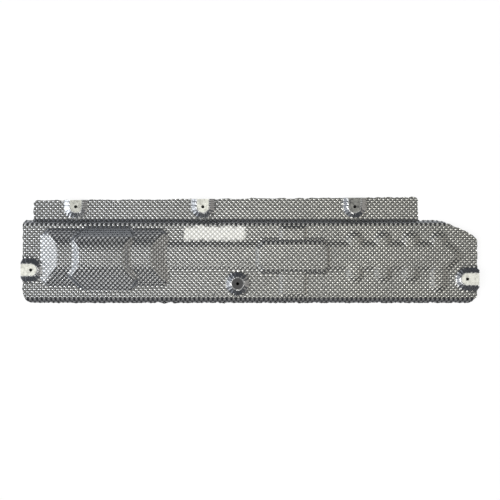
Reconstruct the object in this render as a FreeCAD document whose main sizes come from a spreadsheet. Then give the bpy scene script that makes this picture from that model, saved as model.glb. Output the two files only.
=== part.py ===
"""Underbody heat shield for a car's exhaust tunnel, pressed from one aluminium sheet.

The shield is one piece. A forming tool gives the sheet its face, a second one a sheet thickness
behind it gives its back, and the blank outline trims both and pierces the fixing holes.
Millimetres, +X along the shield, +Y towards the fixing flange, +Z out of the pressed face.
The origin is at the middle of the underside.
"""

import FreeCAD
import Part
import Sketcher

import math
import os

NODE = "heat_shield"

# The driving dimensions: alias, value in millimetres or as a share, what it is. Places are measured
# in from the nearest end or edge, or from the shield's middle, so a longer or wider shield keeps its
# features.
SIZES = [
    ("sheet", 0.8, "thickness of the sheet"),
    ("bend_radius", 4, "outer radius of the long bends"),
    ("shield_width", 231, "over the flange edge and the rim"),
    ("panel_length", 992, "length of the main panel"),
    ("tab_reach", 4, "how far each end tab stands past the panel"),
    ("tab_width", 36, "end tab at its tip"),
    ("tab_flare", 6, "how much wider an end tab is at its root, each side"),
    ("panel_rise", 10, "height of the panel above the flange"),
    ("rim_run", 11, "width of the sloping rim along the lower edge"),
    ("step_run", 9, "width of the sloping step between panel and flange"),
    ("flange_width", 50, "width of the fixing flange at its right end"),
    ("flange_taper", 7, "how much narrower the flange is at its left end"),
    ("flange_left_in", 22, "left end of the flange, in from the left end"),
    ("flange_right_in", 129, "right end of the flange, in from the right end"),
    ("corner_radius", 22, "large corners of the blank"),
    ("edge_radius", 8, "small corners of the blank"),
    ("shoulder_length", 81, "length of the sloping right shoulder"),
    ("shoulder_drop", 36, "how far the shoulder falls by the right end"),
    ("shoulder_radius", 70, "rounding where the shoulder starts"),
    ("dome_in", 40, "dome's left foot, in from the left end"),
    ("dome_length", 279, "dome at its foot"),
    ("dome_lower_gap", 35.5, "rim edge to the dome's lower foot"),
    ("dome_upper_gap", 19.5, "step foot to the dome's upper foot"),
    ("dome_height", 26, "dome above the panel"),
    ("dome_end_run", 37, "plan width of the dome's end walls"),
    ("dome_upper_run", 28, "plan width of the dome's upper wall"),
    ("dome_lower_run", 44, "plan width of the dome's lower wall"),
    ("dome_left_chamfer", 14, "cut corners of the dome's foot, left end"),
    ("dome_right_chamfer", 14, "cut corners of the dome's foot, right end"),
    ("dome_top_chamfer", 6, "cut corners of the dome's top"),
    ("dome_roundness", 0.65, "1 makes the dome's top a full vault, 0 a flat with sharp edges"),
    ("crown_in", 83, "left foot of the crown across the dome, in from the left end"),
    ("crown_length", 181, "crown at its foot"),
    ("crown_lower_gap", 25.5, "rim edge to the crown's lower foot"),
    ("crown_upper_gap", 15.5, "step foot to the crown's upper foot"),
    ("crown_height", 38, "crown above the panel"),
    ("crown_end_run", 42, "plan width of the crown's end walls"),
    ("crown_upper_run", 33, "plan width of the crown's upper wall"),
    ("crown_lower_run", 52, "plan width of the crown's lower wall"),
    ("crown_left_chamfer", 52, "cut corners of the crown's foot, left end"),
    ("crown_right_chamfer", 30, "cut corners of the crown's foot, right end"),
    ("crown_top_chamfer", 14, "cut corners of the crown's top"),
    ("crown_roundness", 0.75, "as for the dome"),
    ("spine_tuck", 63, "how far the long spine starts inside the dome's right foot"),
    ("spine_in", 35, "spine's right foot, in from the right end"),
    ("spine_lower_gap", 69.5, "rim edge to the spine's lower foot"),
    ("spine_upper_gap", 45.5, "step foot to the spine's upper foot"),
    ("spine_height", 4, "spine above the panel"),
    ("spine_run", 12, "plan width of the spine's walls"),
    ("spine_point", 0.4, "cut corners of the spine, as a share of its width"),
    ("block_middle", 94, "middle of the block on the spine, from the shield's middle"),
    ("block_length", 170, "block at its foot"),
    ("block_lower_gap", 62.5, "rim edge to the block's lower foot"),
    ("block_upper_gap", 41.5, "step foot to the block's upper foot"),
    ("block_height", 7.5, "block above the panel"),
    ("block_run", 10, "plan width of the block's walls"),
    ("block_point", 0.2, "cut corners of the block, as a share of its width"),
    ("rib_middle", 94.5, "middle of the cross rib, from the shield's middle"),
    ("rib_width", 59, "cross rib at its foot"),
    ("rib_height", 3, "cross rib above the panel"),
    ("rib_run", 5, "plan width of the cross rib's walls"),
    ("bead_in", 84, "middle of the last bead, in from the right end"),
    ("bead_pitch", 61, "spacing of the beads"),
    ("bead_width", 40, "width of a bead at its foot"),
    ("bead_upper_gap", 24.5, "step foot to the upper end of the beads"),
    ("bead_lower_gap", 44.5, "rim edge to the lower end of the beads"),
    ("bead_last_lower_gap", 22.5, "rim edge to the lower end of the last bead"),
    ("bead_height", 4, "beads above the panel"),
    ("bead_run", 11, "plan width of a bead's walls"),
    ("boss_radius", 13, "flat seat round a fixing hole"),
    ("boss_run", 13, "plan width of a boss's wall"),
    ("boss_height", 8, "boss above the sheet round it"),
    ("boss_overrun", 16, "how far an edge boss runs past the blank"),
    ("hole_diameter", 7, "fixing hole"),
    ("flange_hole_gap", 21, "flange edge to its row of holes"),
    ("flange_hole_1_in", 115, "first flange hole, in from the left end"),
    ("flange_hole_2_x", -103, "second flange hole, from the shield's middle"),
    ("flange_hole_3_in", 267, "third flange hole, in from the right end"),
    ("left_hole_in", 18, "left hole, in from the left end"),
    ("left_hole_up", 72, "left hole, up from the rim edge"),
    ("right_hole_in", 22, "right hole, in from the right end"),
    ("right_hole_up", 52, "right hole, up from the rim edge"),
    ("rim_hole_x", -27, "hole near the rim, from the shield's middle"),
    ("rim_hole_up", 42, "hole near the rim, up from the rim edge"),
    ("tool_depth", 30, "how far the forming tools run past the sheet"),
    ("headroom", 100, "height of the trimming prism"),
]

# How far a vault's sloping ends are carried past its top, as a share of its height.
OVERSHOOT = 1.25

# The edges that places are measured from, as expressions.
LEFT_END = "(-Sizes.panel_length / 2)"
RIGHT_END = "(Sizes.panel_length / 2)"
RIM_EDGE = "(-Sizes.shield_width / 2)"
FLANGE_EDGE = "(Sizes.shield_width / 2)"
STEP_FOOT = "(Sizes.shield_width / 2 - Sizes.flange_width)"
DOME_LEFT = f"({LEFT_END} + Sizes.dome_in)"
DOME_RIGHT = f"({DOME_LEFT} + Sizes.dome_length)"
CROWN_LEFT = f"({LEFT_END} + Sizes.crown_in)"
FLANGE_ROW = f"({FLANGE_EDGE} - Sizes.flange_hole_gap)"

# Left and right foot of each raised form.
ENDS = {
    "dome": (DOME_LEFT, DOME_RIGHT),
    "crown": (CROWN_LEFT, f"({CROWN_LEFT} + Sizes.crown_length)"),
    "spine": (f"({DOME_RIGHT} - Sizes.spine_tuck)", f"({RIGHT_END} - Sizes.spine_in)"),
    "block": (
        "(Sizes.block_middle - Sizes.block_length / 2)",
        "(Sizes.block_middle + Sizes.block_length / 2)",
    ),
}

# Middle of each fixing hole.
HOLES = {
    "flange_1": (f"({LEFT_END} + Sizes.flange_hole_1_in)", FLANGE_ROW),
    "flange_2": ("Sizes.flange_hole_2_x", FLANGE_ROW),
    "flange_3": (f"({RIGHT_END} - Sizes.flange_hole_3_in)", FLANGE_ROW),
    "left": (f"({LEFT_END} + Sizes.left_hole_in)", f"({RIM_EDGE} + Sizes.left_hole_up)"),
    "right": (f"({RIGHT_END} - Sizes.right_hole_in)", f"({RIM_EDGE} + Sizes.right_hole_up)"),
    "rim": ("Sizes.rim_hole_x", f"({RIM_EDGE} + Sizes.rim_hole_up)"),
}


def size(name):
    """The expression that reads one driving dimension."""
    return f"Sizes.{name}"


def above_rim(name):
    """A place measured up from the rim edge."""
    return f"({RIM_EDGE} + {size(name)})"


def below_step(name):
    """A place measured down from the foot of the step."""
    return f"({STEP_FOOT} - {size(name)})"


def write_sizes(doc):
    """Puts the driving dimensions in the document's spreadsheet."""
    cells = doc.addObject("Spreadsheet::Sheet", "Sizes")
    for row, (alias, value, meaning) in enumerate(SIZES, start=1):
        cells.set(f"A{row}", meaning)
        cells.set(f"B{row}", str(value))
        cells.setAlias(f"B{row}", alias)
    doc.recompute()


def number(item, expression):
    """What an expression is worth now, as a plain number."""
    worth = item.evalExpression(expression)
    return float(getattr(worth, "Value", worth))


def sketch_on(body, name, role, height="0"):
    """A sketch on one of the body's own origin planes, raised by height."""
    sketch = body.newObject("Sketcher::SketchObject", name)
    plane = [feature for feature in body.Origin.OriginFeatures if feature.Role == role][0]
    sketch.AttachmentSupport = [(plane, "")]
    sketch.MapMode = "FlatFace"
    sketch.setExpression("AttachmentOffset.Base.z", height)
    return sketch


def pin_point(sketch, geometry, point, axis, expression):
    """Fixes one coordinate of a sketch point to an expression."""
    kind = "DistanceX" if axis == "x" else "DistanceY"
    name = f"{axis}_{geometry}_{point}"
    place = number(sketch, expression)
    index = sketch.addConstraint(Sketcher.Constraint(kind, -1, 1, geometry, point, place))
    sketch.renameConstraint(index, name)
    sketch.setExpression(f"Constraints.{name}", expression)


def draw_outline(sketch, corners, arcs=None):
    """Draws a closed outline through corners, each an (x, y) pair of expressions, anticlockwise.

    arcs maps the number of a corner to (axis, centre): from there a half circle runs to the
    next corner, and its centre is fixed along that axis. Every other side is straight.
    """
    arcs = arcs or {}
    places = [FreeCAD.Vector(number(sketch, x), number(sketch, y), 0) for x, y in corners]
    sides = []
    for i, start in enumerate(places):
        end = places[(i + 1) % len(places)]
        if i in arcs:
            middle = (start + end) / 2
            turn = math.atan2(start.y - middle.y, start.x - middle.x)
            circle = Part.Circle(middle, FreeCAD.Vector(0, 0, 1), start.distanceToPoint(middle))
            sides.append(sketch.addGeometry(Part.ArcOfCircle(circle, turn, turn + math.pi)))
        else:
            sides.append(sketch.addGeometry(Part.LineSegment(start, end)))
    for i, side in enumerate(sides):
        after = sides[(i + 1) % len(sides)]
        sketch.addConstraint(Sketcher.Constraint("Coincident", side, 2, after, 1))
    for i, side in enumerate(sides):
        pin_point(sketch, side, 1, "x", corners[i][0])
        pin_point(sketch, side, 1, "y", corners[i][1])
        if i in arcs:
            pin_point(sketch, side, 3, *arcs[i])


def draw_circle(sketch, x, y, radius):
    """Adds a circle to a sketch."""
    centre = FreeCAD.Vector(number(sketch, x), number(sketch, y), 0)
    reach = number(sketch, radius)
    circle = sketch.addGeometry(Part.Circle(centre, FreeCAD.Vector(0, 0, 1), reach))
    pin_point(sketch, circle, 3, "x", x)
    pin_point(sketch, circle, 3, "y", y)
    index = sketch.addConstraint(Sketcher.Constraint("Radius", circle, reach))
    sketch.renameConstraint(index, f"radius_{circle}")
    sketch.setExpression(f"Constraints.radius_{circle}", radius)


def cut_corner_box(left, right, lower, upper, left_cut, right_cut):
    """Corners of a rectangle with the corners of its left and right ends cut off."""
    return [
        (f"{left} + {left_cut}", lower),
        (f"{right} - {right_cut}", lower),
        (right, f"{lower} + {right_cut}"),
        (right, f"{upper} - {right_cut}"),
        (f"{right} - {right_cut}", upper),
        (f"{left} + {left_cut}", upper),
        (left, f"{upper} - {left_cut}"),
        (left, f"{lower} + {left_cut}"),
    ]


def pad_through(body, name, section, length):
    """Pads a section the same way to both sides of its plane."""
    feature = body.newObject("PartDesign::Pad", name)
    feature.Profile = section
    feature.SideType = "Symmetric"
    feature.setExpression("Length", length)
    body.Document.recompute()


def pad_tapered(body, name, foot, height, run):
    """Raises an outline with walls that lean in by run over their height."""
    feature = body.newObject("PartDesign::Pad", name)
    feature.Profile = foot
    feature.setExpression("Length", height)
    feature.setExpression("TaperAngle", f"-atan({run} / {height})")
    body.Document.recompute()


def loft(body, name, foot, top):
    """Joins a foot outline to a top outline with flat walls."""
    feature = body.newObject("PartDesign::AdditiveLoft", name)
    feature.Profile = foot
    feature.Sections = [top]
    feature.Ruled = True
    body.Document.recompute()


def round_edges(body, name, radius, **place):
    """Rounds the edges whose ends all lie at the given x, y or z, each an expression."""
    tip = body.Tip
    goal = {axis: number(tip, expression) for axis, expression in place.items()}
    edges = [
        f"Edge{i}"
        for i, edge in enumerate(tip.Shape.Edges, start=1)
        if all(abs(getattr(v.Point, axis) - goal[axis]) < 1e-4 for v in edge.Vertexes for axis in goal)
    ]
    feature = body.newObject("PartDesign::Fillet", name)
    feature.Base = (tip, edges)
    feature.setExpression("Radius", radius)
    body.Document.recompute()


class FormingTool:
    """One side of the pressed sheet, as the solid tool that would form it.

    The back tool is the face tool moved in by one sheet thickness, square to every wall.
    """

    def __init__(self, doc, name, is_back):
        self.doc = doc
        self.name = name
        self.is_back = is_back
        self.body = doc.addObject("PartDesign::Body", f"{name}_ground")
        self.vaults = []
        self.flange = "0" if is_back else size("sheet")
        self.panel = f"({size('panel_rise')} + {self.flange})"

    def inset(self, height, run):
        """How far a wall's foot moves in on this side of the sheet."""
        if not self.is_back:
            return "0"
        return f"({size('sheet')} * tan(atan({height} / {run}) / 2))"

    def ridge_radius(self, radius):
        """Radius of a bend that is convex seen from the face."""
        return f"{radius} - {size('sheet')}" if self.is_back else radius

    def valley_radius(self, radius):
        """Radius of a bend that is hollow seen from the face."""
        return radius if self.is_back else f"{radius} - {size('sheet')}"

    def press_cross_section(self):
        """The flange, the step, the panel and the sloping rim, as one long section."""
        deep = size("tool_depth")
        rim_height = f"({size('panel_rise')} + {size('sheet')})"
        step_in = self.inset(size("panel_rise"), size("step_run"))
        rim_in = self.inset(rim_height, size("rim_run"))
        step_foot = f"{STEP_FOOT} - {step_in}"
        step_top = f"{step_foot} - {size('step_run')}"
        rim_top = f"{above_rim('rim_run')} + {rim_in}"
        rim_fall = f"{size('rim_run')} * ({deep} + {self.panel}) / {rim_height}"
        section = sketch_on(self.body, f"{self.name}_section", "YZ_Plane")
        draw_outline(section, [
            (f"{FLANGE_EDGE} + {deep}", f"-{deep}"),
            (f"{FLANGE_EDGE} + {deep}", self.flange),
            (step_foot, self.flange),
            (step_top, self.panel),
            (rim_top, self.panel),
            (f"{rim_top} - {rim_fall}", f"-{deep}"),
        ])
        pad_through(self.body, f"{self.name}_strip", section, f"{size('panel_length')} + 2 * {deep}")
        ridge = self.ridge_radius(size("bend_radius"))
        valley = self.valley_radius(size("bend_radius"))
        round_edges(self.body, f"{self.name}_step_foot", valley, y=step_foot, z=self.flange)
        round_edges(self.body, f"{self.name}_step_top", ridge, y=step_top, z=self.panel)
        round_edges(self.body, f"{self.name}_rim_top", ridge, y=rim_top, z=self.panel)

    def press_vault(self, name):
        """The dome or the crown: a rounded section along X, closed by sloping ends."""
        left, right = ENDS[name]
        lower, upper = above_rim(f"{name}_lower_gap"), below_step(f"{name}_upper_gap")
        height = size(f"{name}_height")
        lower_run, upper_run, end_run = [
            size(f"{name}_{part}_run") for part in ("lower", "upper", "end")
        ]
        top_chamfer = size(f"{name}_top_chamfer")
        label = f"{self.name}_{name}"
        low = f"{lower} + {self.inset(height, lower_run)}"
        high = f"{upper} - {self.inset(height, upper_run)}"
        summit = f"{self.panel} + {height}"
        arch = self.doc.addObject("PartDesign::Body", f"{label}_arch")
        section = sketch_on(arch, f"{label}_arch_section", "YZ_Plane")
        low_top, high_top = f"{low} + {lower_run}", f"{high} - {upper_run}"
        draw_outline(section, [
            (low, self.panel),
            (high, self.panel),
            (high_top, summit),
            (low_top, summit),
        ])
        pad_through(arch, f"{label}_arch_pad", section, size("panel_length"))
        turns = [f"tan(atan({height} / {run}) / 2)" for run in (lower_run, upper_run)]
        flat = f"({upper} - {lower} - {lower_run} - {upper_run})"
        fits_top = f"{flat} / ({turns[0]} + {turns[1]})"
        fits_wall = f"sqrt({height} * {height} + {upper_run} * {upper_run}) / {turns[1]}"
        fullest = f"min({fits_top}; {fits_wall})"
        radius = self.ridge_radius(f"{size(f'{name}_roundness')} * {fullest}")
        round_edges(arch, f"{label}_lower_round", radius, y=low_top, z=summit)
        round_edges(arch, f"{label}_upper_round", radius, y=high_top, z=summit)
        ends = self.doc.addObject("PartDesign::Body", f"{label}_ends")
        end_in = self.inset(height, end_run)
        clear = size("tool_depth")
        corner = f"{clear} + {end_in} * (sqrt(2) - 1)"
        outlines = []
        for part, share in (("foot", 0), ("top", OVERSHOOT)):
            level = f"{self.panel} + {share} * {height}"
            sketch = sketch_on(ends, f"{label}_ends_{part}", "XY_Plane", level)
            cuts = [
                f"({cut} + {share} * ({top_chamfer} - {cut}) + {corner})"
                for cut in (size(f"{name}_left_chamfer"), size(f"{name}_right_chamfer"))
            ]
            draw_outline(sketch, cut_corner_box(
                f"{left} + {end_in} + {share} * {end_run}",
                f"{right} - {end_in} - {share} * {end_run}",
                f"{lower} - {clear}",
                f"{upper} + {clear}",
                *cuts,
            ))
            outlines.append(sketch)
        loft(ends, f"{label}_ends_loft", *outlines)
        vault = self.doc.addObject("Part::Common", label)
        vault.Base = arch
        vault.Tool = ends
        self.vaults.append(vault)

    def press_hipped(self, name):
        """The spine or the block: a flat top, walls that all lean alike, and cut corners."""
        left, right = ENDS[name]
        lower, upper = above_rim(f"{name}_lower_gap"), below_step(f"{name}_upper_gap")
        height, run, point = [size(f"{name}_{part}") for part in ("height", "run", "point")]
        inset = self.inset(height, run)
        outlines = []
        for part, share in (("foot", 0), ("top", 1)):
            level = f"{self.panel} + {share} * {height}"
            sketch = sketch_on(self.body, f"{self.name}_{name}_{part}", "XY_Plane", level)
            move = f"({inset} + {share} * {run})"
            face_width = f"({upper} - {lower} - 2 * {share} * {run})"
            cut = f"({point} * {face_width} - {inset} * (2 - sqrt(2)))"
            draw_outline(sketch, cut_corner_box(
                f"{left} + {move}",
                f"{right} - {move}",
                f"{lower} + {move}",
                f"{upper} - {move}",
                cut,
                cut,
            ))
            outlines.append(sketch)
        loft(self.body, f"{self.name}_{name}", *outlines)

    def press_cross_rib(self):
        """The shallow rib across the panel, from the step to the rim."""
        height, run = size("rib_height"), size("rib_run")
        inset = self.inset(height, run)
        low = f"{above_rim('rim_run')} + {size('bend_radius')} + {inset}"
        high = f"{below_step('step_run')} - {size('bend_radius')} - {inset}"
        reach = f"({size('rib_width')} / 2 - {inset})"
        x0 = f"{size('rib_middle')} - {reach}"
        x1 = f"{size('rib_middle')} + {reach}"
        foot = sketch_on(self.body, f"{self.name}_rib_foot", "XY_Plane", self.panel)
        draw_outline(foot, [(x0, low), (x1, low), (x1, high), (x0, high)])
        pad_tapered(self.body, f"{self.name}_rib", foot, height, run)

    def press_beads(self):
        """The row of upright stiffening beads, from the right end. The one at that end is longer."""
        height, run = size("bead_height"), size("bead_run")
        inset = self.inset(height, run)
        radius = f"({size('bead_width')} / 2 - {inset})"
        high = f"{below_step('bead_upper_gap')} - {inset} - {radius}"
        for i in range(4):
            middle = f"{RIGHT_END} - {size('bead_in')} - {i} * {size('bead_pitch')}"
            low = f"{above_rim('bead_lower_gap' if i else 'bead_last_lower_gap')} + {inset} + {radius}"
            left, right = f"{middle} - {radius}", f"{middle} + {radius}"
            foot = sketch_on(self.body, f"{self.name}_bead_{i + 1}_foot", "XY_Plane", self.panel)
            corners = [(left, low), (right, low), (right, high), (left, high)]
            draw_outline(foot, corners, {0: ("y", low), 2: ("y", high)})
            pad_tapered(self.body, f"{self.name}_bead_{i + 1}", foot, height, run)

    def press_bosses(self):
        """The raised flat seats of the six fixing holes. All but one run out over the edge."""
        height, run = size("boss_height"), size("boss_run")
        radius = f"({size('boss_radius')} + {run} - {self.inset(height, run)})"
        tip = f"({RIGHT_END} + {size('tab_reach')} + {size('boss_overrun')})"
        flange_right = f"({RIGHT_END} - {size('flange_right_in')})"
        flange_length = f"({flange_right} - {LEFT_END} - {size('flange_left_in')})"
        feet = []
        for i in (1, 2, 3):
            x, y = HOLES[f"flange_{i}"]
            taper = f"{size('flange_taper')} * ({flange_right} - {x}) / {flange_length}"
            edge = f"{FLANGE_EDGE} + {size('boss_overrun')} - {taper}"
            left, right = f"{x} - {radius}", f"{x} + {radius}"
            corners = [(left, y), (right, y), (right, edge), (left, edge)]
            feet.append((f"flange_boss_{i}", self.flange, corners, ("y", y)))
        for side, edge, turn in (("left", f"-{tip}", 1), ("right", tip, -1)):
            x, y = HOLES[side]
            first, last = f"{y} - {turn} * {radius}", f"{y} + {turn} * {radius}"
            corners = [(x, first), (x, last), (edge, last), (edge, first)]
            feet.append((f"{side}_boss", self.panel, corners, ("x", x)))
        for name, level, corners, centre in feet:
            foot = sketch_on(self.body, f"{self.name}_{name}_foot", "XY_Plane", level)
            draw_outline(foot, corners, {0: centre})
            pad_tapered(self.body, f"{self.name}_{name}", foot, height, run)
        foot = sketch_on(self.body, f"{self.name}_rim_boss_foot", "XY_Plane", self.panel)
        draw_circle(foot, *HOLES["rim"], radius)
        pad_tapered(self.body, f"{self.name}_rim_boss", foot, height, run)

    def join(self):
        """The whole tool as one solid."""
        whole = self.doc.addObject("Part::MultiFuse", self.name)
        whole.Shapes = [self.body] + self.vaults
        return whole


def forming_tool(doc, name, is_back):
    """One whole side of the sheet."""
    tool = FormingTool(doc, name, is_back)
    tool.press_cross_section()
    tool.press_hipped("spine")
    tool.press_hipped("block")
    tool.press_cross_rib()
    tool.press_beads()
    tool.press_bosses()
    tool.press_vault("dome")
    tool.press_vault("crown")
    return tool.join()


def blank_outline(doc):
    """The trimmed outline of the sheet with its fixing holes, as a tall prism."""
    body = doc.addObject("PartDesign::Body", "blank")
    left_tip = f"{LEFT_END} - {size('tab_reach')}"
    right_tip = f"{RIGHT_END} + {size('tab_reach')}"
    flange_left = f"{LEFT_END} + {size('flange_left_in')}"
    flange_right = f"{RIGHT_END} - {size('flange_right_in')}"
    flange_start = f"{FLANGE_EDGE} - {size('flange_taper')}"
    shoulder_start = f"{RIGHT_END} - {size('shoulder_length')}"
    shoulder_end = below_step("shoulder_drop")
    tab = f"{size('tab_width')} / 2"
    root = f"({tab} + {size('tab_flare')})"
    left, right = HOLES["left"][1], HOLES["right"][1]
    outline = sketch_on(body, "blank_outline", "XY_Plane")
    draw_outline(outline, [
        (LEFT_END, RIM_EDGE),
        (RIGHT_END, RIM_EDGE),
        (RIGHT_END, f"{right} - {root}"),
        (right_tip, f"{right} - {tab}"),
        (right_tip, f"{right} + {tab}"),
        (RIGHT_END, f"{right} + {root}"),
        (RIGHT_END, shoulder_end),
        (shoulder_start, STEP_FOOT),
        (flange_right, STEP_FOOT),
        (flange_right, FLANGE_EDGE),
        (flange_left, flange_start),
        (flange_left, STEP_FOOT),
        (LEFT_END, STEP_FOOT),
        (LEFT_END, f"{left} + {root}"),
        (left_tip, f"{left} + {tab}"),
        (left_tip, f"{left} - {tab}"),
        (LEFT_END, f"{left} - {root}"),
    ])
    for x, y in HOLES.values():
        draw_circle(outline, x, y, f"{size('hole_diameter')} / 2")
    prism = body.newObject("PartDesign::Pad", "blank_prism")
    prism.Profile = outline
    prism.setExpression("Length", size("headroom"))
    doc.recompute()
    large, small = size("corner_radius"), size("edge_radius")
    round_edges(body, "lower_left_corner", large, x=LEFT_END, y=RIM_EDGE)
    round_edges(body, "lower_right_corner", large, x=RIGHT_END, y=RIM_EDGE)
    round_edges(body, "shoulder_end", large, x=RIGHT_END, y=shoulder_end)
    round_edges(body, "shoulder", size("shoulder_radius"), x=shoulder_start, y=STEP_FOOT)
    round_edges(body, "flange_right_corner", small, x=flange_right, y=FLANGE_EDGE)
    round_edges(body, "flange_left_corner", small, x=flange_left, y=flange_start)
    round_edges(body, "upper_left_corner", small, x=LEFT_END, y=STEP_FOOT)
    return body


def check(doc):
    """Stops the script if any object of the document failed to build."""
    for item in doc.Objects:
        if "Invalid" in item.State or "Error" in item.State:
            raise RuntimeError(f"{item.Label} failed: {item.State}")


def main():
    doc = FreeCAD.newDocument("heat_shield")
    write_sizes(doc)
    sheet = doc.addObject("Part::Cut", "pressed_sheet")
    sheet.Base = forming_tool(doc, "face", is_back=False)
    sheet.Tool = forming_tool(doc, "back", is_back=True)
    shield = doc.addObject("Part::Common", NODE)
    shield.Label = NODE
    shield.Base = sheet
    shield.Tool = blank_outline(doc)
    doc.recompute()
    check(doc)
    shape = shield.Shape
    if shape.isNull() or not shape.isValid() or len(shape.Solids) != 1:
        raise RuntimeError(f"{NODE} isn't one valid solid")
    os.makedirs("parts", exist_ok=True)
    shape.exportStep(f"parts/{NODE}.step")
    print(f"{NODE}: {len(shape.Faces)} faces, {shape.Volume:.0f} mm3")


main()
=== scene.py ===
"""Looks of an underbody heat shield: its embossed aluminium sheet and the plain studio round it.

The file is laid out as an add-on and is run as a script. Lengths are in metres, in the frame of
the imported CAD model: +X along the shield, +Y towards its fixing flange, +Z out of its face.
"""

import math

import bpy
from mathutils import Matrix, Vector


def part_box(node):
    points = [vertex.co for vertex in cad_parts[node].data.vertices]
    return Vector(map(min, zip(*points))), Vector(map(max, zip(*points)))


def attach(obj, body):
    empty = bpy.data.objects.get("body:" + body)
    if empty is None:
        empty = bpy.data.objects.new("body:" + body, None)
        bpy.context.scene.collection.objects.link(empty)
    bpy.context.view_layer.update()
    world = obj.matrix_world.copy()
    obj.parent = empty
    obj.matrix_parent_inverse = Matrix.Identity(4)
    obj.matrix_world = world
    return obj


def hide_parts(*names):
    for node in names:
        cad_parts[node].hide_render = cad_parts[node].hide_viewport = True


bl_info = {
    "name": "Embossed heat shield",
    "version": (1, 0, 0),
    "blender": (4, 5, 0),
    "location": "3D View > Sidebar > Heat shield",
    "description": "Models the embossed sheet of a heat shield over its CAD form",
    "category": "Object",
}

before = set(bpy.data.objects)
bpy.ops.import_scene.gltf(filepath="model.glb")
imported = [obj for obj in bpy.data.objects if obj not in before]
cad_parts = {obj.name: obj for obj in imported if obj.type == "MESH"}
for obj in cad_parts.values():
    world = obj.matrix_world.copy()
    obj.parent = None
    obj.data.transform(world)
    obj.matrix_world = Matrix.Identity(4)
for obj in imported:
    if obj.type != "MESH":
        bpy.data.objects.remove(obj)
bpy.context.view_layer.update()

SHIELD_NODE = "heat_shield"
SHIELD_LOW, SHIELD_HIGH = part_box(SHIELD_NODE)
SHIELD_MIDDLE = (SHIELD_LOW + SHIELD_HIGH) / 2

# Middle of each fixing hole, the way its seat runs out to the sheet's edge, and how much painted
# shade its seat has.
SEATS = [
    ((-0.381, 0.0945), (0, 1), 0.25),
    ((-0.103, 0.0945), (0, 1), 0.0),
    ((0.229, 0.0945), (0, 1), 0.7),
    ((-0.478, -0.0435), (-1, 0), 0.0),
    ((0.474, -0.0635), (1, 0), 0.0),
    ((-0.027, -0.0735), (0, 0), 1.0),
]

# Left, right, lower and upper side of the boxes that make up the floor under the shield.
FOOTPRINT = [
    (-0.496, 0.415, -0.1155, 0.0655),
    (0.400, 0.496, -0.1155, 0.0295),
    (-0.474, 0.367, 0.0500, 0.1085),
]

# Mesh cells across one knob: the middle corner of each three by three is lifted.
CELLS_PER_KNOB = 3

# Knobs that the flat grid has to spare, and how far above the shield it starts.
SPARE_KNOBS = 4
GRID_LIFT = 0.1

# Grain of the unevenness of the trimmed edge, along each axis.
EDGE_GRAIN = {"X": 0.011, "Y": 0.013}

# Bends sharper than this are shaded as creases.
CREASE_ANGLE = math.radians(60)

# Attribute of the sheet for how steep the pressed form is: 0 on a flat, 1 on an upright wall.
STEEPNESS = "steepness"

# Attribute of the sheet that tells its face, 1, from its back, 0.
FACE_SIDE = "face_side"

# Where each finish, each painted shade and the painted light cast start and where they are full.
STEEP_SHADE_RANGE = (0.18, 0.34)
VALLEY_HEIGHT = (0.03, 0.40)
HANDLED_NOISE = (0.42, 0.72)
MOTTLED_NOISE = (0.40, 0.75)
LIGHT_CAST_X = (-0.45, 0.25)
SEAT_SHADE_REACH = (0.018, 0.022)
DAB_LEFT, DAB_RIGHT = (-0.147, -0.138), (-0.016, -0.005)
DAB_LOWER, DAB_UPPER = (0.017, 0.026), (0.047, 0.056)

# Widths over which the boss walls, the seats and the painted shade on the rim fade out.
BOSS_FADE = 0.003
SEAT_FADE = 0.0015
RIM_SHADE_FADE = 0.004

# How much of the metal each finish and each painted shade covers.
HANDLED_COVER = 0.4
VALLEY_SHADE_COVER = 0.88
STEEP_SHADE_COVER = 0.85
RIM_SHADE_COVER = 0.8
BOSS_COVER = 0.8
MOTTLED_COVER = 0.35
DAB_COVER = 0.9
DAB_LOSS_IN_VALLEYS = 0.6

# How far the dab and a bright seat are from bare metal: 1 isn't metal at all. On a bright seat
# this is part of a painted reflection.
DAB_PAINT = 0.9
SEAT_SHEEN_PAINT = 0.5

# What each finish adds to the roughness.
ROLLED_ROUGHNESS = 0.10
HANDLED_ROUGHNESS = 0.07
DAB_ROUGHNESS = 0.3
VALLEY_ROUGHNESS = 0.12

# Scales of the noises, and how far the dab's edges stray. The rolling marks run along X.
ROLLED_SCALE = (6.0, 220.0, 220.0)
HANDLED_SCALE = 9.0
MOTTLED_SCALE = 170.0
RAGGED_SCALE = 90.0
RAGGED_WIDTH = 0.026
NOISE_DETAIL = 3.0

# Depth of the rolling marks, as a share of a knob's height.
ROLLED_DEPTH = 0.05

# Where the studio's right, upper and left parts start and are full, as a share of a direction.
STUDIO_RIGHT_FROM = (0.68, 0.97)
STUDIO_ABOVE_FROM = (0.84, 0.95)
STUDIO_LEFT_FROM = (0.40, 0.80)

# Share of the floor's white that doesn't depend on the lamps, so that a faint shadow is left.
FLOOR_GLOW = 0.90

# Where the floor's glow ends under the shield, and how far from a hole its shade reaches.
UNDER_SHIELD = (-0.010, -0.004)
HOLE_SHADE = (0.006, 0.0075)

# Room between the floor and the shield.
FLOOR_GAP = 0.001


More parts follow.
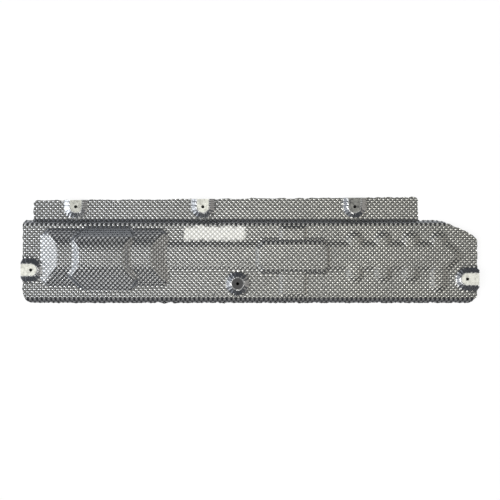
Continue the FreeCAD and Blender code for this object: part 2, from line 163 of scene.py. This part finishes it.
class EmbossSettings(bpy.types.PropertyGroup):
    """Sizes of the embossing."""

    knob_pitch: bpy.props.FloatProperty(
        name="Knob pitch",
        description="Distance between neighbouring knobs, along the lattice",
        default=0.00715,
        unit="LENGTH",
        precision=5,
    )
    lattice_turn: bpy.props.FloatProperty(
        name="Lattice turn",
        description="Turn of the knob lattice from the shield's length",
        default=math.radians(45),
        subtype="ANGLE",
    )
    knob_height: bpy.props.FloatProperty(
        name="Knob height",
        description="How far a knob stands out of the sheet",
        default=0.0014,
        unit="LENGTH",
        precision=5,
    )
    sheet_thickness: bpy.props.FloatProperty(
        name="Sheet thickness",
        description="Thickness of the sheet",
        default=0.0007,
        unit="LENGTH",
        precision=5,
    )
    bend_softness: bpy.props.IntProperty(
        name="Bend softness",
        description="Smoothing passes that round the pressed creases",
        default=3,
    )
    seat_radius: bpy.props.FloatProperty(
        name="Seat radius",
        description="Plain flat seat round a fixing hole",
        default=0.0135,
        unit="LENGTH",
    )
    boss_radius: bpy.props.FloatProperty(
        name="Boss radius",
        description="Foot of the pleated wall round a seat",
        default=0.026,
        unit="LENGTH",
    )
    # Painted shade: how far up the rim the dark painted shade reaches.
    rim_shade_edge: bpy.props.FloatProperty(
        name="Film edge",
        description="How far up the dark film on the rim reaches, along Y",
        default=-0.105,
        unit="LENGTH",
    )
    pleat_count: bpy.props.IntProperty(
        name="Pleats",
        description="Pleats in a full turn round a boss",
        default=18,
    )
    pleat_height: bpy.props.FloatProperty(
        name="Pleat height",
        description="How far a pleat stands out of the boss's wall",
        default=0.0018,
        unit="LENGTH",
        precision=5,
    )
    edge_waviness: bpy.props.FloatProperty(
        name="Edge waviness",
        description="How unevenly the outer edge is trimmed",
        default=0.006,
        unit="LENGTH",
        precision=5,
    )


class FinishSettings(bpy.types.PropertyGroup):
    """Colours of the sheet."""

    metal_colour: bpy.props.FloatVectorProperty(
        name="Metal",
        description="Bright rolled aluminium",
        default=(0.86, 0.875, 0.89),
        subtype="COLOR",
    )
    # Painted light: the warm cast of the light on the metal towards the right end.
    warm_light_cast: bpy.props.FloatVectorProperty(
        name="Heat tint",
        description="Aluminium at the warm end, to the right",
        default=(0.86, 0.855, 0.80),
        subtype="COLOR",
    )
    dull_colour: bpy.props.FloatVectorProperty(
        name="Dull metal",
        description="Aluminium where it has been handled",
        default=(0.66, 0.66, 0.65),
        subtype="COLOR",
    )
    # Painted shade in the valleys between the knobs.
    valley_shade: bpy.props.FloatVectorProperty(
        name="Valleys",
        description="Dull film in the valleys between the knobs",
        default=(0.17, 0.17, 0.165),
        subtype="COLOR",
    )
    # Painted shade on the steep walls of the pressed form.
    steep_wall_shade: bpy.props.FloatVectorProperty(
        name="Drawn walls",
        description="Dull metal where the press drew the sheet down steeply",
        default=(0.24, 0.255, 0.28),
        subtype="COLOR",
    )
    # Painted shade on the sloping rim, also the colour of a shaded seat.
    dark_shade_colour: bpy.props.FloatVectorProperty(
        name="Rim film",
        description="Dark film on the sloping rim",
        default=(0.11, 0.11, 0.115),
        subtype="COLOR",
    )
    boss_colour: bpy.props.FloatVectorProperty(
        name="Boss walls",
        description="Metal of the pleated walls round the seats",
        default=(0.50, 0.51, 0.53),
        subtype="COLOR",
    )
    # Painted reflection: the bright seats, pale and partly non-metal.
    seat_sheen: bpy.props.FloatVectorProperty(
        name="Seats",
        description="Plain pressed seats round the fixing holes",
        default=(0.82, 0.82, 0.75),
        subtype="COLOR",
    )
    dab_colour: bpy.props.FloatVectorProperty(
        name="Pale dab",
        description="Plain pale dab on the panel",
        default=(0.94, 0.935, 0.88),
        subtype="COLOR",
    )
    roughness: bpy.props.FloatProperty(
        name="Roughness",
        description="Roughness of the bright metal",
        default=0.22,
        subtype="FACTOR",
    )


class StageSettings(bpy.types.PropertyGroup):
    """Camera and studio."""

    picture_width: bpy.props.FloatProperty(
        name="Picture width",
        description="Width of the picture at the shield",
        default=1.0915,
        unit="LENGTH",
    )
    lens: bpy.props.FloatProperty(
        name="Lens",
        description="Focal length of the camera",
        default=120.0,
        unit="CAMERA",
    )
    floor_radius: bpy.props.FloatProperty(
        name="Floor radius",
        description="Radius of the white floor",
        default=12.0,
        unit="LENGTH",
    )
    backdrop_height: bpy.props.FloatProperty(
        name="Backdrop height",
        description="Height of the white wall round the floor",
        default=0.9,
        unit="LENGTH",
    )
    floor_colour: bpy.props.FloatVectorProperty(
        name="Floor",
        description="White floor and backdrop",
        default=(0.95, 0.95, 0.95),
        subtype="COLOR",
    )
    shade_colour: bpy.props.FloatVectorProperty(
        name="Floor under the holes",
        description="Floor in the shade under the fixing holes",
        default=(0.03, 0.03, 0.03),
        subtype="COLOR",
    )
    studio_dark: bpy.props.FloatVectorProperty(
        name="Dark sides",
        description="Studio past the flange and past the rim",
        default=(0.075, 0.08, 0.09),
        subtype="COLOR",
    )
    studio_right: bpy.props.FloatVectorProperty(
        name="Right side",
        description="Studio past the right end",
        default=(0.55, 0.52, 0.48),
        subtype="COLOR",
    )
    studio_above: bpy.props.FloatVectorProperty(
        name="Above",
        description="Studio straight above the shield",
        default=(0.76, 0.76, 0.725),
        subtype="COLOR",
    )
    studio_left: bpy.props.FloatVectorProperty(
        name="Left side",
        description="Studio past the left end",
        default=(0.36, 0.38, 0.42),
        subtype="COLOR",
    )
    left_power: bpy.props.FloatProperty(
        name="Left soft box",
        description="Power of the low soft box past the left end",
        default=1.75,
        unit="POWER",
    )
    key_strength: bpy.props.FloatProperty(
        name="Key lamp",
        description="Strength of the high lamp at the left",
        default=0.50,
    )
    right_strength: bpy.props.FloatProperty(
        name="Right lamp",
        description="Strength of the warm high lamp at the right",
        default=0.15,
    )
    front_power: bpy.props.FloatProperty(
        name="Front lamp",
        description="Power of the small lamp in front of the rim",
        default=0.75,
        unit="POWER",
    )
    fill_strength: bpy.props.FloatProperty(
        name="Fill",
        description="Strength of the lamp that lights matt surfaces",
        default=2.4,
    )


class Value:
    """A number in a node tree, so that shader maths reads as Python maths."""

    def __init__(self, shader, socket):
        self.shader = shader
        self.socket = socket

    def combine(self, operation, first, second=0.0):
        """The result of a Math node."""
        settings = {"operation": operation}
        node = self.shader.node("ShaderNodeMath", settings, {0: first, 1: second})
        return Value(self.shader, node.outputs[0])

    def __add__(self, other):
        return self.combine("ADD", self, other)

    def __radd__(self, other):
        return self.combine("ADD", other, self)

    def __sub__(self, other):
        return self.combine("SUBTRACT", self, other)

    def __rsub__(self, other):
        return self.combine("SUBTRACT", other, self)

    def __mul__(self, other):
        return self.combine("MULTIPLY", self, other)

    def __rmul__(self, other):
        return self.combine("MULTIPLY", other, self)

    def __pow__(self, other):
        return self.combine("POWER", self, other)

    def __abs__(self):
        return self.combine("ABSOLUTE", self)

    def __or__(self, other):
        """The greater of two numbers."""
        return self.combine("MAXIMUM", self, other)

    def __and__(self, other):
        """The lesser of two numbers."""
        return self.combine("MINIMUM", self, other)

    def wave(self):
        """1 at every whole number and 0 half way between."""
        return self.combine("COSINE", self * math.tau) * 0.5 + 0.5

    def rise(self, start, end):
        """0 below start, 1 above end, and smooth between."""
        settings = {"interpolation_type": "SMOOTHSTEP"}
        inputs = {"Value": self, "From Min": start, "From Max": end}
        node = self.shader.node("ShaderNodeMapRange", settings, inputs)
        return Value(self.shader, node.outputs[0])


class Shader:
    """The nodes of one material, or of the world."""

    def __init__(self, tree):
        self.tree = tree
        tree.nodes.clear()

    def node(self, kind, settings=None, inputs=None):
        """Adds a node: its settings first, then the values or links of its sockets."""
        node = self.tree.nodes.new(kind)
        for name, value in (settings or {}).items():
            setattr(node, name, value)
        for name, value in (inputs or {}).items():
            source = value.socket if isinstance(value, Value) else value
            if isinstance(source, bpy.types.NodeSocket):
                self.tree.links.new(source, node.inputs[name])
            else:
                node.inputs[name].default_value = source
        return node

    def split(self, vector):
        """The three numbers of a vector."""
        node = self.node("ShaderNodeSeparateXYZ", None, {0: vector})
        return [Value(self, socket) for socket in node.outputs]

    def noise(self, place, scale):
        """Soft noise from 0 to 1."""
        inputs = {"Vector": place, "Scale": scale, "Detail": NOISE_DETAIL}
        return Value(self, self.node("ShaderNodeTexNoise", None, inputs).outputs["Fac"])

    def attribute(self, name):
        """A number that the piece's mesh holds at each point."""
        node = self.node("ShaderNodeAttribute", {"attribute_name": name})
        return Value(self, node.outputs["Fac"])

    def mix(self, amount, first, second):
        """A colour between two colours."""
        settings = {"data_type": "RGBA", "clamp_factor": True}
        inputs = {0: amount, 6: first, 7: second}
        return self.node("ShaderNodeMix", settings, inputs).outputs[2]


def opaque(colour):
    """A colour with full alpha."""
    return (*colour, 1.0)


def new_material(name):
    """An empty node material."""
    material = bpy.data.materials.new(name)
    material.use_nodes = True
    return material, Shader(material.node_tree)


def knob_tops(shader, place, emboss):
    """1 on top of a knob, 0 in the valleys."""
    lattice = shader.node("ShaderNodeMapping", {"vector_type": "TEXTURE"}, {
        "Vector": place,
        "Location": (SHIELD_MIDDLE.x, SHIELD_MIDDLE.y, 0),
        "Rotation": (0, 0, emboss.lattice_turn),
        "Scale": (emboss.knob_pitch, emboss.knob_pitch, emboss.knob_pitch),
    })
    along, across, _ = shader.split(lattice.outputs[0])
    return along.wave() * across.wave()


def hole_reaches(x, y, run_out):
    """Distance from each fixing hole; with run_out, none along the way its seat runs out."""
    reaches = []
    for (hole_x, hole_y), (out_x, out_y), _ in SEATS:
        dx, dy = x - hole_x, y - hole_y
        if run_out and out_x:
            dx = (dx * out_x) & 0
        if run_out and out_y:
            dy = (dy * out_y) & 0
        reaches.append((dx * dx + dy * dy) ** 0.5)
    return reaches


def nearest(reaches):
    """The least of several distances."""
    least = reaches[0]
    for reach in reaches[1:]:
        least = least & reach
    return least


def pale_dab(shader, place, x, y):
    """How much the pale dab covers: it has ragged edges, and it is on the face only."""
    ragged = (shader.noise(place, RAGGED_SCALE) - 0.5) * RAGGED_WIDTH
    along, up = x + ragged, y + ragged
    dab = along.rise(*DAB_LEFT) * (1 - along.rise(*DAB_RIGHT))
    dab = dab * up.rise(*DAB_LOWER) * (1 - up.rise(*DAB_UPPER)) * DAB_COVER
    return dab * shader.attribute(FACE_SIDE)


def seat_shade_and_mottling(shader, place, reaches):
    """Painted shade on the seats: each has its own share, and all are mottled."""
    own = sum((1 - reach.rise(*SEAT_SHADE_REACH)) * seat_shade for reach, (_, _, seat_shade) in zip(reaches, SEATS))
    return own + shader.noise(place, MOTTLED_SCALE).rise(*MOTTLED_NOISE) * MOTTLED_COVER


def embossed_aluminium(finish, emboss):
    """Bright embossed aluminium, with a painted cast of the light along it, painted shade in the
    valleys, on the steep walls and on the rim, rougher valleys, plain seats with painted
    reflection and painted shade, and one plain pale dab.
    """
    material, shader = new_material("embossed_aluminium")
    place = shader.node("ShaderNodeTexCoord").outputs["Object"]
    x, y, _ = shader.split(place)
    reaches = hole_reaches(x, y, run_out=True)
    reach = nearest(reaches)
    open_sheet = reach.rise(emboss.boss_radius - BOSS_FADE, emboss.boss_radius)
    seat = 1 - reach.rise(emboss.seat_radius - SEAT_FADE, emboss.seat_radius)
    shaded_mottled = seat_shade_and_mottling(shader, place, reaches)
    # Painted shade on the steep walls, from how steep the sheet is there.
    steep_shade = shader.attribute(STEEPNESS).rise(*STEEP_SHADE_RANGE)
    # Painted shade on the rim.
    rim_shade = 1 - y.rise(emboss.rim_shade_edge - RIM_SHADE_FADE / 2, emboss.rim_shade_edge + RIM_SHADE_FADE / 2)
    tops = knob_tops(shader, place, emboss)
    valleys = open_sheet * (1 - tops.rise(*VALLEY_HEIGHT))
    grain = shader.node("ShaderNodeMapping", None, {"Vector": place, "Scale": ROLLED_SCALE})
    rolled = shader.noise(grain.outputs[0], 1.0)
    handled = shader.noise(place, HANDLED_SCALE).rise(*HANDLED_NOISE)
    dab = pale_dab(shader, place, x, y)

    # Painted light cast: the metal's colour goes from cool at the left to warm at the right.
    metal = shader.mix(x.rise(*LIGHT_CAST_X), opaque(finish.metal_colour), opaque(finish.warm_light_cast))
    for cover, colour in (
        (handled * HANDLED_COVER, finish.dull_colour),
        # painted shade in the valleys between the knobs
        (valleys * VALLEY_SHADE_COVER, finish.valley_shade),
        # painted shade on the steep walls
        (steep_shade * STEEP_SHADE_COVER, finish.steep_wall_shade),
        # painted shade on the rim
        (rim_shade * RIM_SHADE_COVER, finish.dark_shade_colour),
        ((1 - open_sheet) * BOSS_COVER, finish.boss_colour),
    ):
        metal = shader.mix(cover, metal, opaque(colour))
    # A seat is mixed from a pale, partly non-metal copy, which is a painted reflection, and a dark
    # copy, which is painted shade.
    pressed = shader.mix(shaded_mottled, opaque(finish.seat_sheen), opaque(finish.dark_shade_colour))
    metal = shader.mix(seat, metal, pressed)
    dab_cover = dab * (1 - valleys * DAB_LOSS_IN_VALLEYS)
    colour = shader.mix(dab_cover, metal, opaque(finish.dab_colour))

    roughness = finish.roughness + (rolled - 0.5) * ROLLED_ROUGHNESS
    roughness = roughness + handled * HANDLED_ROUGHNESS
    roughness = roughness + dab * DAB_ROUGHNESS + valleys * VALLEY_ROUGHNESS
    bump = shader.node("ShaderNodeBump", None, {
        "Strength": 1.0,
        "Distance": emboss.knob_height / 2,
        "Height": tops * open_sheet + rolled * ROLLED_DEPTH,
    })
    surface = shader.node("ShaderNodeBsdfPrincipled", None, {
        "Base Color": colour,
        "Metallic": 1 - (dab * DAB_PAINT | seat * (1 - shaded_mottled) * SEAT_SHEEN_PAINT),
        "Roughness": roughness,
        "Normal": bump.outputs[0],
    })
    shader.node("ShaderNodeOutputMaterial", None, {"Surface": surface.outputs[0]})
    return material


def beside(x, y, box):
    """Distance from a box of the footprint, below 0 inside it."""
    left, right, low, high = box
    along = abs(x - (left + right) / 2) - (right - left) / 2
    across = abs(y - (low + high) / 2) - (high - low) / 2
    return along | across


def floor_white(settings):
    """White floor: it glows to the camera and in reflections, and is matt under the shield."""
    material, shader = new_material("white_floor")
    path = shader.node("ShaderNodeLightPath")
    seen = Value(shader, path.outputs["Is Camera Ray"])
    for ray in ("Is Glossy Ray", "Is Transmission Ray"):
        seen = seen | Value(shader, path.outputs[ray])
    x, y, _ = shader.split(shader.node("ShaderNodeTexCoord").outputs["Object"])
    seen = seen * nearest([beside(x, y, box) for box in FOOTPRINT]).rise(*UNDER_SHIELD)
    lit = nearest(hole_reaches(x, y, run_out=False)).rise(*HOLE_SHADE)
    colour = shader.mix(lit, opaque(settings.shade_colour), opaque(settings.floor_colour))
    matt = shader.node("ShaderNodeBsdfPrincipled", None, {
        "Base Color": colour,
        "Roughness": 1.0,
        "Specular IOR Level": 0.0,
    })
    glow = shader.node("ShaderNodeEmission", None, {"Color": (1, 1, 1, 1), "Strength": 1.0})
    inputs = {0: seen * FLOOR_GLOW, 1: matt.outputs[0], 2: glow.outputs[0]}
    surface = shader.node("ShaderNodeMixShader", None, inputs)
    shader.node("ShaderNodeOutputMaterial", None, {"Surface": surface.outputs[0]})
    return material


def deselect_all():
    """Leaves nothing selected."""
    bpy.ops.object.select_all(action="DESELECT")


def apply_modifier(piece, name, kind, **settings):
    """Adds a modifier to the active piece and applies it."""
    modifier = piece.modifiers.new(name, kind)
    for key, value in settings.items():
        setattr(modifier, key, value)
    bpy.ops.object.modifier_apply(modifier=name)


def fill_group(piece, name, weights):
    """A vertex group from a dictionary of vertex number to weight, in steps of a hundredth."""
    group = piece.vertex_groups.new(name=name)
    shares = {}
    for index, weight in weights.items():
        shares.setdefault(round(weight, 2), []).append(index)
    for weight, indices in shares.items():
        group.add(indices, weight, "REPLACE")


def seat_zone(point, emboss):
    """Finds "seat" on a plain seat, None on open sheet, and on a boss's wall the angle round the
    hole, or how far along its run-out the point is, in boss radii."""
    for (hole_x, hole_y), (out_x, out_y), _ in SEATS:
        dx, dy = point.x - hole_x, point.y - hole_y
        outward = dx * out_x + dy * out_y
        if outward > 0:
            dx, dy = dx - outward * out_x, dy - outward * out_y
        reach = math.hypot(dx, dy)
        if reach < emboss.seat_radius:
            return "seat"
        if reach < emboss.boss_radius:
            if outward > 0:
                return outward / emboss.boss_radius
            return math.atan2(dy, dx)
    return None


def knob_share(step):
    """Height of a row or column of the grid: 1 through the knobs, low between them."""
    return 0.5 + 0.5 * math.cos(math.tau * step / CELLS_PER_KNOB)


def add_lattice(emboss):
    """A flat square grid above the shield, turned to the lattice, its knobs and pleats marked."""
    size = SHIELD_HIGH - SHIELD_LOW
    span = (size.x + size.y) * math.sqrt(0.5) + SPARE_KNOBS * emboss.knob_pitch
    cells = 2 * CELLS_PER_KNOB * math.ceil(span / emboss.knob_pitch / 2)
    bpy.ops.mesh.primitive_grid_add(
        x_subdivisions=cells,
        y_subdivisions=cells,
        size=cells * emboss.knob_pitch / CELLS_PER_KNOB,
        location=(SHIELD_MIDDLE.x, SHIELD_MIDDLE.y, SHIELD_HIGH.z + GRID_LIFT),
        rotation=(0, 0, emboss.lattice_turn),
    )
    sheet = bpy.context.object
    sheet.name = "embossed_sheet"
    bpy.ops.object.transform_apply(location=True, rotation=True, scale=True)
    columns = math.isqrt(len(sheet.data.vertices))
    knobs, pleats = {}, {}
    for vertex in sheet.data.vertices:
        row, column = divmod(vertex.index, columns)
        zone = seat_zone(vertex.co, emboss)
        if zone is None:
            knobs[vertex.index] = knob_share(row) * knob_share(column)
        elif zone != "seat":
            pleats[vertex.index] = 0.5 + 0.5 * math.cos(emboss.pleat_count * zone)
    fill_group(sheet, "knobs", knobs)
    fill_group(sheet, "pleats", pleats)
    return sheet


def refine_seats(sheet, emboss):
    """Halves the mesh cells on the seats, so that the holes come out round."""
    bpy.ops.object.mode_set(mode="EDIT")
    bpy.ops.mesh.select_mode(type="FACE")
    bpy.ops.mesh.select_all(action="DESELECT")
    bpy.ops.object.mode_set(mode="OBJECT")
    for face in sheet.data.polygons:
        face.select = any(
            math.hypot(face.center.x - x, face.center.y - y) < emboss.seat_radius
            for (x, y), _, _ in SEATS
        )
    bpy.ops.object.mode_set(mode="EDIT")
    bpy.ops.mesh.subdivide(number_cuts=1)
    bpy.ops.object.mode_set(mode="OBJECT")


def drape(sheet, emboss):
    """Lets the grid down on the shield's face and trims it to the shield's outline and holes."""
    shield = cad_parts[SHIELD_NODE]
    apply_modifier(
        sheet, "drape", "SHRINKWRAP", target=shield, wrap_method="PROJECT",
        use_project_z=True, use_negative_direction=True, use_positive_direction=False,
    )
    ceiling = SHIELD_HIGH.z + GRID_LIFT / 2
    for face in sheet.data.polygons:
        face.select = all(sheet.data.vertices[i].co.z > ceiling for i in face.vertices)
    bpy.ops.object.mode_set(mode="EDIT")
    bpy.ops.mesh.delete(type="FACE")
    bpy.ops.object.mode_set(mode="OBJECT")
    heights = {}
    for face in sheet.data.polygons:
        levels = [sheet.data.vertices[i].co.z for i in face.vertices]
        landed = [level for level in levels if level <= ceiling]
        for i, level in zip(face.vertices, levels):
            if level > ceiling:
                heights.setdefault(i, []).extend(landed)
    for i, landed in heights.items():
        sheet.data.vertices[i].co.z = sum(landed) / len(landed)
    fill_group(sheet, "trimmed_edge", dict.fromkeys(heights, 1.0))
    free = [i for i in heights if seat_zone(sheet.data.vertices[i].co, emboss) is None]
    fill_group(sheet, "free_edge", dict.fromkeys(free, 1.0))
    apply_modifier(
        sheet, "trim", "SHRINKWRAP", target=shield, wrap_method="NEAREST_SURFACEPOINT",
        vertex_group="trimmed_edge",
    )


def fray_edge(sheet, emboss):
    """Trims the outer edge a little unevenly, as an edge cut through knobs comes out."""
    for axis, grain in EDGE_GRAIN.items():
        unevenness = bpy.data.textures.new(f"edge_unevenness_{axis}", "CLOUDS")
        unevenness.noise_scale = grain
        apply_modifier(
            sheet, f"fray_{axis}", "DISPLACE", texture=unevenness, texture_coords="LOCAL",
            direction=axis, strength=emboss.edge_waviness, mid_level=0.5, vertex_group="free_edge",
        )


def mark_walls(sheet):
    """Notes how steep the pressed form is at each point, before the knobs are lifted."""
    steepness = sheet.data.attributes.new(STEEPNESS, "FLOAT", "POINT")
    steepness.data.foreach_set("value", [1 - vertex.normal.z for vertex in sheet.data.vertices])


def add_thickness(sheet, thickness):
    """Gives the sheet its thickness, behind its face, and notes which points are on the face."""
    face_points = len(sheet.data.vertices)
    apply_modifier(sheet, "thickness", "SOLIDIFY", thickness=thickness, offset=-1.0)
    side = sheet.data.attributes.new(FACE_SIDE, "FLOAT", "POINT")
    on_face = [float(vertex.index < face_points) for vertex in sheet.data.vertices]
    side.data.foreach_set("value", on_face)


class SHIELD_OT_embossed_sheet(bpy.types.Operator):
    """Models the embossed sheet over the CAD form of the shield"""

    bl_idname = "shield.embossed_sheet"
    bl_label = "Embossed sheet"

    def execute(self, context):
        emboss = context.scene.shield_emboss
        deselect_all()
        sheet = add_lattice(emboss)
        refine_seats(sheet, emboss)
        drape(sheet, emboss)
        fray_edge(sheet, emboss)
        apply_modifier(
            sheet, "soften", "SMOOTH", factor=0.5, iterations=emboss.bend_softness,
            vertex_group="trimmed_edge", invert_vertex_group=True,
        )
        mark_walls(sheet)
        for group, height in (("knobs", emboss.knob_height), ("pleats", emboss.pleat_height)):
            apply_modifier(
                sheet, group, "DISPLACE", strength=height, mid_level=0.0, vertex_group=group,
            )
        add_thickness(sheet, emboss.sheet_thickness)
        bpy.ops.object.shade_smooth_by_angle(angle=CREASE_ANGLE)
        sheet.data.materials.append(embossed_aluminium(context.scene.shield_finish, emboss))
        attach(sheet, "root")
        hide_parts(SHIELD_NODE)
        return {"FINISHED"}


def add_floor(settings):
    """A white disc with a low white wall round it."""
    bpy.ops.mesh.primitive_circle_add(
        vertices=96,
        radius=settings.floor_radius,
        fill_type="NGON",
        location=(0, 0, SHIELD_LOW.z - FLOOR_GAP),
    )
    floor = bpy.context.object
    floor.name = "white_floor"
    bpy.ops.object.transform_apply(location=True, rotation=True, scale=True)
    bpy.ops.object.mode_set(mode="EDIT")
    bpy.ops.mesh.select_mode(type="EDGE")
    bpy.ops.mesh.select_all(action="SELECT")
    bpy.ops.mesh.extrude_edges_move(
        TRANSFORM_OT_translate={"value": (0, 0, settings.backdrop_height)},
    )
    bpy.ops.object.mode_set(mode="OBJECT")
    floor.data.materials.append(floor_white(settings))


def light_world(context, settings):
    """Studio round the shield: bright above and at both ends, dark past the flange and the rim."""
    world = bpy.data.worlds.new("studio")
    context.scene.world = world
    world.use_nodes = True
    shader = Shader(world.node_tree)
    x, _, z = shader.split(shader.node("ShaderNodeTexCoord").outputs["Generated"])
    colour = opaque(settings.studio_dark)
    for share, part in (
        (x.rise(*STUDIO_RIGHT_FROM), settings.studio_right),
        (z.rise(*STUDIO_ABOVE_FROM), settings.studio_above),
        ((0 - x).rise(*STUDIO_LEFT_FROM), settings.studio_left),
    ):
        colour = shader.mix(share, colour, opaque(part))
    surface = shader.node("ShaderNodeBackground", None, {"Color": colour, "Strength": 1.0})
    shader.node("ShaderNodeOutputWorld", None, {"Surface": surface.outputs[0]})


def add_lamp(context, name, kind, place, target=(0, 0, 0), **settings):
    """Puts a lamp at a place, turned to a target."""
    data = bpy.data.lights.new(name, kind)
    for key, value in settings.items():
        setattr(data, key, value)
    lamp = bpy.data.objects.new(name, data)
    lamp.location = place
    lamp.rotation_euler = (Vector(place) - Vector(target)).to_track_quat("Z", "Y").to_euler()
    context.scene.collection.objects.link(lamp)
    return lamp


def add_lamps(context, settings):
    """A low soft box past the left end, high lamps at the left and the right, a small lamp in
    front of the rim, and a fill for matt surfaces only."""
    add_lamp(
        context, "left_soft_box", "AREA", place=(-1.2, -0.05, 0.30), target=(0, -0.05, 0),
        shape="RECTANGLE", size=0.8, size_y=0.3, color=(0.93, 0.97, 1.0),
        energy=settings.left_power,
    )
    add_lamp(
        context, "key_lamp", "SUN", place=(-2.8, -0.4, 3.2),
        angle=math.radians(20), energy=settings.key_strength,
    )
    add_lamp(
        context, "right_lamp", "SUN", place=(2.8, 0.2, 3.2),
        angle=math.radians(20), color=(1.0, 0.97, 0.9), energy=settings.right_strength,
    )
    add_lamp(
        context, "front_lamp", "AREA", place=(0.02, -0.50, 0.75),
        shape="DISK", size=0.25, color=(1.0, 0.98, 0.93), energy=settings.front_power,
    )
    fill = add_lamp(
        context, "matt_fill", "SUN", place=(-1.5, -1.0, 3.0),
        angle=math.radians(60), energy=settings.fill_strength,
    )
    fill.visible_glossy = False


def add_camera(context, settings):
    """A camera straight above the shield, with the flange side up in the picture."""
    panel_level = SHIELD_MIDDLE.z / 2
    data = bpy.data.cameras.new("camera")
    data.lens = settings.lens
    data.sensor_width = 36.0
    data.clip_end = 100.0
    camera = bpy.data.objects.new("camera", data)
    distance = settings.picture_width * settings.lens / data.sensor_width
    camera.location = (0, 0, panel_level + distance)
    context.scene.collection.objects.link(camera)
    context.scene.camera = camera


class SHIELD_OT_stage(bpy.types.Operator):
    """Sets up the floor, the light and the camera"""

    bl_idname = "shield.stage"
    bl_label = "Stage"

    def execute(self, context):
        settings = context.scene.shield_stage
        deselect_all()
        context.scene.view_settings.view_transform = "Standard"
        add_floor(settings)
        light_world(context, settings)
        add_lamps(context, settings)
        add_camera(context, settings)
        return {"FINISHED"}


class SHIELD_PT_panel(bpy.types.Panel):
    """Lists the settings and the steps"""

    bl_idname = "SHIELD_PT_panel"
    bl_label = "Heat shield"
    bl_space_type = "VIEW_3D"
    bl_region_type = "UI"
    bl_category = "Heat shield"

    def draw(self, context):
        scene = context.scene
        for group in (scene.shield_emboss, scene.shield_finish, scene.shield_stage):
            box = self.layout.box()
            for name in group.__annotations__:
                box.prop(group, name)
        self.layout.operator(SHIELD_OT_embossed_sheet.bl_idname)
        self.layout.operator(SHIELD_OT_stage.bl_idname)


CLASSES = (
    EmbossSettings,
    FinishSettings,
    StageSettings,
    SHIELD_OT_embossed_sheet,
    SHIELD_OT_stage,
    SHIELD_PT_panel,
)


def register():
    for cls in CLASSES:
        bpy.utils.register_class(cls)
    bpy.types.Scene.shield_emboss = bpy.props.PointerProperty(type=EmbossSettings)
    bpy.types.Scene.shield_finish = bpy.props.PointerProperty(type=FinishSettings)
    bpy.types.Scene.shield_stage = bpy.props.PointerProperty(type=StageSettings)


def unregister():
    del bpy.types.Scene.shield_stage
    del bpy.types.Scene.shield_finish
    del bpy.types.Scene.shield_emboss
    for cls in reversed(CLASSES):
        bpy.utils.unregister_class(cls)


def main():
    register()
    bpy.ops.shield.embossed_sheet()
    bpy.ops.shield.stage()


if __name__ == "__main__":
    main()
